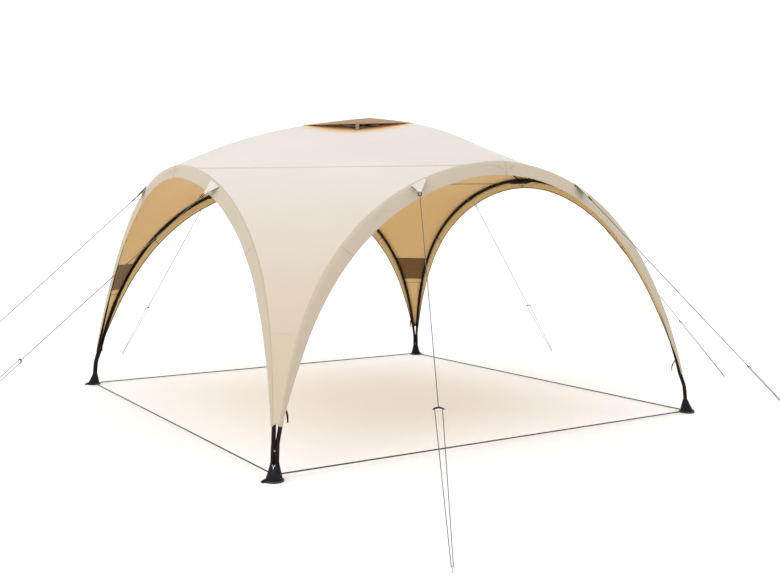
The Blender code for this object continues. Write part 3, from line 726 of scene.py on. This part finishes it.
vent = {
    "reach": 0.60,           # from the middle to a corner
    "top": 2.268,
    "cornerLift": 0.0040,    # height of a corner over the ridge
    "middleLift": 0.0040,    # height of an edge's middle over that
    "roundness": 1.1,
    "rings": 30, "columns": 144,
    "wave": 0.0010, "waveSize": 0.22,
    "hem": 0.012, "hemOff": -0.0015, "holeHem": 0.016, "holeHemOff": 0.0014, "hemThickness": 0.0012,
    "propReach": 0.417, "propWidth": 0.030, "propThickness": 0.004, "propGap": 0.0012, "propBow": 0.0015,
}


def ventEdge(bearing):
    return vent["reach"] / (np.abs(np.cos(bearing)) + np.abs(np.sin(bearing)))


def ventPoint(bearing, share):
    # edge = reach / (|cos| + |sin|), height = top - (top - edge height) * share^roundness
    ridge = float(roofHeight(0.0, vent["reach"] / roofReach, float(crease(90)[2]), vent["reach"]))
    edgeHeight = ridge + vent["cornerLift"] + vent["middleLift"] * np.abs(np.sin(2 * bearing))**0.5
    height = vent["top"] - (vent["top"] - edgeHeight) * share**vent["roundness"]
    reach = ventEdge(bearing) * share
    return np.stack([reach * np.cos(bearing), reach * np.sin(bearing), height], axis=-1)


def flatHem(edge, inner, width, off):
    # a strip along an edge, a little above or below its cloth
    return ribbon(edge + upwards * off, edge + unit(inner - edge) * width + upwards * off, upwards,
                  vent["hemThickness"])


def ventProp():
    # a flat strip that stands on the roof under the middle of a cap edge, bowed a little outwards
    bearing, reach = math.radians(225), vent["propReach"]
    seamReach = float(np.hypot(*cornerPoint(shelter["seamAngle"], 0.5)[:2]))
    low = float(roofHeight(bearing, reach / seamReach, float(crease(shelter["seamAngle"])[2]), reach))
    high = float(ventPoint(bearing, reach / ventEdge(bearing))[2])
    out = np.array([math.cos(bearing), math.sin(bearing), 0.0])
    height = np.linspace(low + vent["propGap"], high - vent["propGap"], 7)
    bow = vent["propBow"] * np.sin(np.linspace(0, math.pi, 7))
    path = out * (reach + bow)[:, None] + upwards * height[:, None]
    return sweep(path, softBox(vent["propWidth"], vent["propThickness"], power=0.3), np.cross(out, upwards))


ventShare = np.linspace(0, 1, vent["rings"])[:, None]
ventPoints = ventPoint(fullTurn(vent["columns"])[::-1], ventShare)
ventPoints[..., 2] += ripples(ventPoints, vent["waveSize"], 5) * vent["wave"] * ventShare
ventPiece = addSheet("vent_cap_cloth", ventPoints, [ventCloth, ventUnder], "vent_cloth", ["vent_cap"])
ventHem = addPiece("vent_cap_hem", flatHem(ventPoints[-1], ventPoints[-2], vent["hem"], vent["hemOff"]),
                   [ventCloth], "vent_cloth")
holeHem = addPiece("vent_hole_hem",
                   flatHem(roofPoints[0], roofPoints[1], vent["holeHem"], vent["holeHemOff"]),
                   [ventCloth], "canvas")
propPieces = addFour(addPiece, corners, "prop_strip_{}", ventProp(), [propPlastic], "prop", "vent_prop_{}")
print("vent", len(ventPiece.data.polygons))


# Poles over the doorways, leg tubes, and roof ribs

pole = {
    "legRadius": 0.0125, "archRadius": 0.0115, "hubRadius": 0.0130, "ribRadius": 0.0055,
    "hubSwell": (4, 6.5),    # degrees from the peak between which the hub's radius goes over into the arch's
    "legSpacing": 0.0255,    # distance between the two tubes of a leg, below the split
    # height of the tubes, and how far they are further in than the foot's centre, per axis
    "legLine": ((0.0983, 0.0085), (0.1063, 0.0091), (0.170, 0.0135), (0.215, 0.0195)),
    "sleeve": 0.0012,        # sleeves are thicker than the tube by this
    "tieSize": (0.030, 0.0150, 0.0035),  # length and radius of a tie, and how far it hangs below the tube
    "hubSize": (4.6, 0.0175, 0.0110),    # half length of the hub in degrees, its radius, and its hang
    "ties": (48, 67.3, 112.7, 132),
    "ribGap": 0.0024,        # between a rib and the middle of the roof cloth
    "ribEnd": (0.25, 0.0145),  # length over which a rib's end goes lower, and by how much
    "crossing": (0.12, 0.0119),  # length and depth of the dip of the rib that passes below
}


def sleeveOn(path, centre, length, radius, look=0):
    # a rounded collar round a tube, near one place of its path
    place, share = lengthsAlong(path), np.linspace(-1, 1, 9)
    at = place[np.argmin(np.linalg.norm(path - centre, axis=-1))]
    spots = at + share / 2 * length
    line = np.stack([np.interp(spots, place, path[:, i]) for i in range(3)], axis=-1)
    return sweep(line, circle(radius), toBack, 1 - 0.14 * np.abs(share)**6, look=look)


def archPole():
    legTop = shelter["legTop"]
    t = np.linspace(legTop, 180 - legTop, 361)
    path = polePath(t)
    central = 1 - smoothStep(*pole["hubSwell"], np.abs(t - 90))
    swell = 1 + (pole["hubRadius"] / pole["archRadius"] - 1) * central
    shapes = [sweep(path, circle(pole["archRadius"]), toBack, swell)]
    thick = pole["archRadius"] + pole["sleeve"]
    shapes += [sleeveOn(path, polePath(a), 0.055, thick) for a in (legTop + 1.4, 178.6 - legTop)]
    length, radius, hang = pole["tieSize"]
    below = path + (doorwayNormal(t) + toBack / 2) * hang
    shapes += [sleeveOn(below, polePath(a), length, radius, look=1) for a in pole["ties"]]
    half, radius, hang = pole["hubSize"]
    t, share = np.linspace(90 - half, 90 + half, 25), np.linspace(-1, 1, 25)
    ease = 1 - 0.45 * np.abs(share)**3
    hub = polePath(t) + (doorwayNormal(t) + toBack / 2) * hang * ease[:, None]
    return shapes + [sweep(hub, circle(radius), toBack, ease)]


def legTube(hand):
    # from the foot up beside its twin, apart from the split on, and up inside the fold of the cloth
    half, aside = shelter["half"], pole["legSpacing"] / 2 / math.sqrt(2)
    low = [(-half + aside + inset, -half - aside + inset, height) for height, inset in pole["legLine"]]
    high = polePath(np.linspace(shelter["clothStart"], shelter["legTop"], 9))
    path = smoothPath(np.concatenate([low, high]), 121) * [-hand, 1, 1]
    return [sweep(path, circle(pole["legRadius"]), toBack),
            sleeveOn(path, path[-8], 0.05, pole["legRadius"] + pole["sleeve"])]


def roofRib(dip):
    # under the ridge by its radius and the cloth, lower still near its ends, and dipped at the crossing
    end = -polePath(90)[1] - pole["hubRadius"]
    y = np.linspace(-end, end, 201)
    reach, (length, drop) = np.abs(y), pole["ribEnd"]
    height = roofHeight(0.0, reach / roofReach, float(crease(90)[2]), reach)
    height = height - pole["ribRadius"] - pole["ribGap"]
    height = height - drop * smoothStep(roofReach - length, roofReach, reach)
    height = height - dip * np.exp(-(y / pole["crossing"][0])**2)
    return sweep(np.stack([0 * y, y, height], axis=-1), circle(pole["ribRadius"], 12), toRight)


archPieces = addFour(addPiece, sides, "arch_tube_{}", archPole(), [poleSteel, blackWebbing], "pole",
                     "{}_arch_pole")
legPieces = [addPiece(f"leg_tube_{side}_{hand}", legTube(sign), [poleSteel], "pole",
                      [f"{side}_leg_{hand}"], k)
             for k, side in enumerate(sides) for hand, sign in (("left", -1), ("right", 1))]
ribPieces = [addPiece(f"rib_{way}", roofRib(k * pole["crossing"][1]), [poleSteel], "rib",
                      [f"roof_rib_{way}"], k)
             for k, way in enumerate(("front_back", "left_right"))]
print("poles", len(archPieces) + len(legPieces) + len(ribPieces))


# Pockets inside the corners

pocket = {"angles": (33, 40), "inset": 0.018, "offset": 0.0048, "bulge": 0.006, "fold": 0.0035,
          "foldPlace": 0.52, "foldWidth": 0.035, "hem": 0.008, "hemOff": 0.0016, "hemThickness": 0.0012}


def pocketSurface(u, v):
    # u goes up from 0 to 1, v across; it bulges towards the middle of the shelter, with a fold at mid height
    low, high = pocket["angles"]
    t = low + (high - low) * u
    points, place = cornerSurface(t, insetShare(t, pocket["inset"], v))
    puff = pocket["bulge"] * np.sin(math.pi * u)**0.6 * np.sin(math.pi * v)**0.5
    crimp = np.exp(-((u - pocket["foldPlace"]) / pocket["foldWidth"])**2) * np.sin(math.pi * v)**0.3
    off = pocket["offset"] + puff - pocket["fold"] * crimp
    return points - cornerNormal(t) * off[..., None], place


pocketPoints, pocketPlace = pocketSurface(*np.meshgrid(*[np.linspace(0, 1, 41)] * 2, indexing="ij"))
pocketNormal = cornerNormal(pocket["angles"][0])
pocketEdge = pocketPoints[0] - pocketNormal * pocket["hemOff"]
pocketPieces = addFour(addSheet, corners, "pocket_cloth_{}", pocketPoints, [pocketCloth], "pocket_cloth",
                       "pocket_{}", uv=pocketPlace)
pocketHems = addFour(addPiece, corners, "pocket_hem_{}",
                     ribbon(pocketEdge, pocketEdge + upwards * pocket["hem"],
                                                                pocketNormal, pocket["hemThickness"]),
                     [bindingTape], "pocket_cloth")
print("pockets", len(pocketPieces))


# Feet, with their lug and split pin, and the rivet, hook and cross strap of the legs

foot = {
    # sections from the ground up: height, half width across the tubes, half width along the diagonal, inset
    "sections": (
        (0.0000, 0.0545, 0.0545, 0.0), (0.0015, 0.0560, 0.0560, 0.0), (0.0045, 0.0565, 0.0565, 0.0),
        (0.0075, 0.0560, 0.0560, 0.0), (0.0092, 0.0540, 0.0540, 0.0), (0.0115, 0.0500, 0.0500, 0.0),
        (0.0180, 0.0465, 0.0460, 0.0005), (0.0500, 0.0375, 0.0340, 0.006), (0.0780, 0.0308, 0.0235, 0.010),
        (0.0930, 0.0278, 0.0180, 0.012), (0.0965, 0.0270, 0.0168, 0.012), (0.0980, 0.0255, 0.0152, 0.012)),
    "ribs": 20, "ribDepth": 0.0125, "ribbed": (0.013, 0.022, 0.088, 0.095),
    "rim": (0.0556, 0.0080, 0.0011),     # radius and height of the light line, and its own radius
    "lugSize": (0.024, 0.012),
    # distance of the lug's line from the foot's centre, its height, and its share of the full width
    "lug": ((0.036, 0.020, 0.75), (0.050, 0.015, 1.0), (0.062, 0.010, 1.0), (0.072, 0.0075, 0.97),
            (0.078, 0.0068, 0.80)),
    "lugWays": (-1, 1, 1, -1),           # lugs of the left feet point to the left, the others to the right
    # lines of the split pin as place across and height
    "pin": (((0.0, 0.0805), (0.0, 0.0755), (0.0005, 0.071)),
            ((0.0, 0.0805), (-0.004675, 0.086), (-0.0085, 0.0925)),
            ((0.0, 0.0805), (0.004675, 0.086), (0.0085, 0.0925))),
    "pinRadius": 0.0016, "pinOff": 0.0010,
}
inwards, acrossTubes = unit(toRight + toBack), unit(toRight - toBack)
footCentre = -shelter["half"] * (toRight + toBack)


def footCone():
    # oval sections that shrink and move inwards with the height, finely ribbed over the cone
    z, wide, deep, inset = smoothPath(foot["sections"], 111).T[..., None]
    z, angle = np.maximum(z, 0), fullTurn(160)
    start, full, last, end = foot["ribbed"]
    ribbed = smoothStep(start, full, z) * (1 - smoothStep(last, end, z))
    ribs = 1 + foot["ribDepth"] * np.cos(foot["ribs"] * angle) * ribbed
    grid = (footCentre + inwards * (deep * np.sin(angle) * ribs + inset)[..., None]
            + acrossTubes * (wide * np.cos(angle) * ribs)[..., None] + upwards * z[..., None])
    return gridShape(capped(grid))


def footRim():
    # light grey line round the top edge of the disc
    radius, height, wire = foot["rim"]
    path = footCentre + circle(radius, 96) @ [toRight, toBack] + upwards * height
    return sweep(path, circle(wire, 8), upwards, closed=True, look=1)


def footLug(towards):
    # a short tongue out of the disc, sloping down
    reach, lift, scale = np.array(foot["lug"]).T
    line = smoothPath(footCentre + towards * reach[:, None] + upwards * lift[:, None], 25)
    scale = np.interp(np.linspace(0, 1, 25), np.linspace(0, 1, 5), scale)
    return sweep(line, softBox(*foot["lugSize"], power=0.6), np.cross(towards, upwards), scale)


def splitPin(line):
    # one of three bright wires that form a Y on the outward face of the cone
    z, _, deep, inset = np.array(foot["sections"]).T
    across, height = np.array(line).T[..., None]
    reach = np.interp(height, z, deep - inset) + foot["pinOff"]
    path = footCentre - inwards * reach + acrossTubes * across + upwards * height
    return sweep(smoothPath(path, 9), circle(foot["pinRadius"], 10), np.array([0.9, 0.1, 0.4]), look=2)


def footShapes(k):
    # every foot's lug keeps its own direction, so it is turned back before the whole foot is turned
    towards = quarterTurned(toRight * foot["lugWays"][k], -k)
    return [footCone(), footRim(), footLug(towards), *(splitPin(line) for line in foot["pin"])]


footPieces = [addPiece(f"cone_foot_{corner}", footShapes(k), [footPlastic, rimPlastic, brightSteel], "foot",
                       [f"foot_{corner}"], k) for k, corner in enumerate(corners)]


legFitting = {
    "faceHeight": 0.165,                       # height at which the tubes' place is taken for the plate
    # the plate's distance from the tubes, its heights, and the shares of its width there
    "plateOut": 0.0085, "plateHeights": (0.140, 0.150, 0.160, 0.170, 0.180),
    "plateWidths": (0.7, 1, 1, 1, 0.7), "plateSize": (0.016, 0.006),
    "rivet": (0.166, 0.0030, 0.0045, 0.0060),  # height, place before the plate, radius and length
    "rivetFlat": 0.12,                         # angle at which each end of its egg shape is cut flat
    # points of the plastic hook at the cloth's lower end, from the foot's centre: it bends up and over
    "hook": ((0.064, 0.018, 0.322), (0.073, 0.026, 0.350), (0.080, 0.031, 0.378), (0.090, 0.036, 0.386),
             (0.100, 0.040, 0.368), (0.109, 0.046, 0.338), (0.109, 0.045, 0.306)),
    "hookSize": (0.0120, 0.0075), "hookTaper": (0.3, 0.75),  # the share it loses, and where that begins
    "tie": (0.33, 0.014, 0.002),               # height of the cross strap, half its width, and its thickness
}


def legFittings():
    # a plate with a rivet between the tubes, the hook at the cloth's lower end, and the cross strap
    (low, near), (high, far) = pole["legLine"][0], pole["legLine"][-1]
    inset = np.interp(legFitting["faceHeight"], (low, high), (near, far))
    face = footCentre + (toRight + toBack) * inset - inwards * legFitting["plateOut"]
    plate = face + upwards * np.array(legFitting["plateHeights"])[:, None]
    height, before, radius, length = legFitting["rivet"]
    angle = np.linspace(legFitting["rivetFlat"], math.pi - legFitting["rivetFlat"], 9)
    rivet = face + upwards * height - inwards * (before - length / 2 * np.cos(angle))[:, None]
    hook = smoothPath(footCentre + np.array(legFitting["hook"]), 49)
    lost, begin = legFitting["hookTaper"]
    height, half, thickness = legFitting["tie"]
    near = polePath(angleAtHeight(height))
    level = near + (swapped(near) - near) * np.linspace(0.1, 0.9, 15)[:, None]
    return [sweep(plate, softBox(*legFitting["plateSize"]), acrossTubes, legFitting["plateWidths"]),
            sweep(rivet, circle(radius, 10), np.array([0.31, 0.67, 0.12]), np.sin(angle), look=1),
            sweep(hook, softBox(*legFitting["hookSize"], 12), np.array([0.5, -0.85, 0.0]),
                  1 - lost * smoothStep(begin, 1.0, np.linspace(0, 1, 49))),
            ribbon(level - upwards * half, level + upwards * half, inwards, thickness, look=2)]


fittingPieces = addFour(addPiece, corners, "leg_fittings_{}", legFittings(),
                        [poleSteel, brightSteel, pocketCloth], "pole")
print("feet and fittings", len(footPieces) + len(fittingPieces))


# Straps on the ground from foot to foot, whose ends are low or high on the feet

strap = {"width": 0.009, "thickness": 0.0025,
         "low": (0.0550, 0.012), "high": (0.0445, 0.035)}  # from the foot's centre, and height


def groundStrap(leftEnd, rightEnd):
    half, (left, leftHeight), (right, rightHeight) = shelter["half"], strap[leftEnd], strap[rightEnd]
    path = np.linspace([left - half, -half, leftHeight], [half - right, -half, rightHeight], 121)
    return sweep(path, softBox(strap["thickness"], strap["width"], 12), toBack)


strapEnds = {"front": ("high", "low"), "right": ("low", "low"),
             "back": ("low", "low"), "left": ("low", "high")}
strapPieces = [addPiece(f"strap_{side}", groundStrap(*strapEnds[side]), [strapWebbing], "webbing",
                        [f"{side}_ground_strap"], k) for k, side in enumerate(sides)]
print("straps", len(strapPieces))


# Guy lines: a triangular flap at the crease, a buckle, the cord, a slider, two strands below it, and a peg

guy = {
    # place of the peg along its side and out from the middle, for the left and the right guy
    "pegs": {"front": ((-1.72, 3.30), (1.14, 3.30)), "right": ((-0.96, 3.30), (1.12, 3.15)),
             "back": ((-1.10, 3.30), (1.00, 3.30)), "left": ((-1.30, 3.30), (0.00, 3.30))},
    "tabAlong": 0.69, "tabHalf": 0.060, "tabTip": 0.009, "tabLength": 0.100, "tabThickness": 0.0022,
    "tabOff": 0.0035, "tabIn": 0.004, "tabLeave": 0.55, "tabArrive": 0.9, "tabTaper": 0.02,
    "buckleWidth": 0.021, "buckleLength": 0.034, "buckleWire": 0.0026, "barWire": 0.00208,
    "buckleLap": 0.004, "cordLap": 0.006,  # laps of the buckle over the tab, and of the cord over the buckle
    "cord": 0.0023, "strand": 0.0021,
    "slider": 0.68,          # share of the whole length from the crease where the slider sits
    "sliderHalf": 0.027, "sliderRise": 0.011, "sliderSize": (0.009, 0.0045),
    "sliderTaper": 0.25,     # share of its thickness that the slider loses at its ends
    "strandHalf": 0.019, "strandStart": 0.004, "strandEnd": 0.0045, "strandLow": 0.004,
    "pegTop": 0.026, "pegRadius": 0.0036,
    # the peg's wire as distance out from the strands and height
    "pegLine": ((0.004, 0.0004), (0.004, 0.010), (0.003, 0.018), (-0.002, 0.0235), (-0.008, 0.0215),
                (-0.0105, 0.014)),
}


def guyFrame(side, hand):
    # angle and point on the crease, the peg's head, the pull, and the crease's direction square to it
    place, reach = guy["pegs"][side][hand > 0]
    t = angleAlong(hand * guy["tabAlong"])
    top, head, edge = crease(t), np.array([place, -reach, guy["pegTop"]]), creaseTangent(t)
    pull = unit(head - top)
    return t, top, head, pull, unit(edge - pull * float(edge @ pull))


def guyShapes(side, hand):
    _, top, head, pull, across = guyFrame(side, hand)
    outward = unit(np.cross(across, pull))
    length = guy["buckleLength"]
    tip = top + pull * guy["tabLength"]
    wide, high = oval(fullTurn(40), guy["buckleWidth"] / 2, length / 2, 0.5).T[..., None]
    ring = tip + pull * (length / 2 - guy["buckleLap"]) + across * wide + pull * high
    start = tip + pull * (length - guy["cordLap"])
    slider = top + pull * float(np.linalg.norm(head - top)) * guy["slider"]
    # slider: an arched bar across the cord, and a strand from each of its ends
    u = np.linspace(-1, 1, 25)[:, None]
    bar = slider + across * u * guy["sliderHalf"] + pull * guy["sliderRise"] * u**2
    strands = [np.linspace(slider + across * way * guy["strandHalf"] + pull * guy["strandStart"],
                           head + across * way * guy["strandEnd"] - upwards * guy["strandLow"], 31)
               for way in (-1, 1)]
    # peg: a bent steel wire whose hook holds the strands
    out, height = np.array(guy["pegLine"]).T[..., None]
    wire = head * [1, 1, 0] + unit((head - top) * [1, 1, 0]) * out + upwards * height
    return [sweep(ring, circle(guy["buckleWire"], 10), outward, closed=True, look=1),
            sweep([ring[0], (ring[0] + ring[20]) / 2, ring[20]], circle(guy["barWire"], 10), outward, look=1),
            sweep(np.linspace(start, slider, 41), circle(guy["cord"], 10), outward),
            sweep(bar, softBox(*guy["sliderSize"], 12), pull,
                  1 - guy["sliderTaper"] * np.abs(u[:, 0])**4, look=1),
            *(sweep(line, circle(guy["strand"], 8), outward) for line in strands),
            sweep(smoothPath(wire, 31), circle(guy["pegRadius"], 12), across, look=2)]


def tabFlap(side, hand):
    # Hermite sheet from the crease, where it leaves along the cloth, to the buckle, where it follows the pull
    t, top, _, pull, across = guyFrame(side, hand)
    v = np.linspace(1, -1, 25)
    spread = v * guy["tabHalf"] * abs(creaseTangent(t)[0])
    base = np.array([crease(angleAlong(hand * guy["tabAlong"] + x)) for x in spread])
    base = base + clothNormal(t) * guy["tabOff"] + clothInward(t) * guy["tabIn"]
    tip = top + pull * guy["tabLength"] + across * (v * guy["tabTip"])[:, None]
    u = np.linspace(0, 1, 25)[:, None, None]
    start = -clothInward(t) * guy["tabLength"] * guy["tabLeave"]
    last = pull * guy["tabLength"] * guy["tabArrive"] - across * (v * guy["tabTaper"])[:, None]
    return ((2 * u**3 - 3 * u**2 + 1) * base + (u**3 - 2 * u**2 + u) * start
            + (3 * u**2 - 2 * u**3) * tip + (u**3 - u**2) * last)


for k, side in enumerate(sides):
    for hand, sign in (("left", -1), ("right", 1)):
        # the tab's underside is the dark brown pocket cloth, painted shade for the shadow in the gap under
        # the tab
        addSheet(f"tab_{side}_{hand}", tabFlap(side, sign), [canvasOut, pocketCloth],
                                  "canvas", [f"{side}_guy_{hand}"], k, thickness=guy["tabThickness"])
        addPiece(f"guy_line_{side}_{hand}", guyShapes(side, sign), [guyCord, footPlastic, brightSteel], "guy",
                 turns=k)
# Camera and studio

view = {"place": (-3.9784, -6.1462, 1.4344), "heading": 58.08, "tilt": -4.06, "roll": 0.14,
        "lens": 41.597, "shift_x": 0.0478, "shift_y": -0.0084}
studio = {"floorHalf": 60.0, "floorDrop": 0.0005, "floorColour": (0.955, 0.955, 0.950), "floorShade": 0.985,
          "skyColour": (1.0, 1.0, 1.0), "skyPower": 1.20,
          # place, size and power of each lamp
          "lamps": (((-7.5, -3.5, 5.5), 5.0, 150.0), ((6.0, -2.0, 7.0), 6.0, 30.0),
                    ((0.0, 7.0, 5.5), 6.0, 30.0)), "lampTarget": (0.0, 0.0, 1.0)}


def placed(name, data, place, turn):
    item = bpy.data.objects.new(name, data)
    item.rotation_mode = "QUATERNION"
    item.rotation_quaternion = turn
    item.location = place
    bpy.context.scene.collection.objects.link(item)
    return item


def makeCamera():
    data = bpy.data.cameras.new("camera")
    data.sensor_width = 36.0
    for key in ("lens", "shift_x", "shift_y"):
        setattr(data, key, view[key])
    heading, tilt, roll = (math.radians(view[k]) for k in ("heading", "tilt", "roll"))
    level = math.cos(tilt)
    forward = np.array([math.cos(heading) * level, math.sin(heading) * level, math.sin(tilt)])
    right = np.array([math.sin(heading), -math.cos(heading), 0.0])
    across = right * math.cos(roll) + np.cross(right, forward) * math.sin(roll)
    turn = Matrix(np.stack([across, np.cross(across, forward), -forward], axis=1).tolist()).to_quaternion()
    bpy.context.scene.camera = placed("camera", data, view["place"], turn)


def makeStudio():
    half, colour = studio["floorHalf"], studio["floorColour"]
    x, y = np.meshgrid([-half, half], [-half, half])
    square = np.stack([x, y, np.full_like(x, -studio["floorDrop"])], axis=-1)
    paint, tree, shader = makeMaterial("studio floor", colour, 0.9)
    cloudy = noise(tree, addNode(tree, "TexCoord").outputs["Object"], 0.6)
    shade = [studio["floorShade"] * value for value in colour]
    connect(tree, shader, Base_Color=mixColours(tree, cloudy, colour, shade))
    addMesh("studio_floor", gridShape(square), [paint], closed=False)
    world = bpy.data.worlds.new("studio")
    world.use_nodes = True
    background = world.node_tree.nodes["Background"]
    background.inputs["Color"].default_value = (*studio["skyColour"], 1.0)
    background.inputs["Strength"].default_value = studio["skyPower"]
    bpy.context.scene.world = world
    for i, (place, size, power) in enumerate(studio["lamps"]):
        data = bpy.data.lights.new(f"lamp {i}", "AREA")
        data.size, data.energy = size, power
        way = Vector(studio["lampTarget"]) - Vector(place)
        placed(f"lamp {i}", data, place, way.to_track_quat("-Z", "Y"))


makeCamera()
makeStudio()
bpy.context.scene.view_settings.view_transform = "Standard"
print("camera and studio ready")
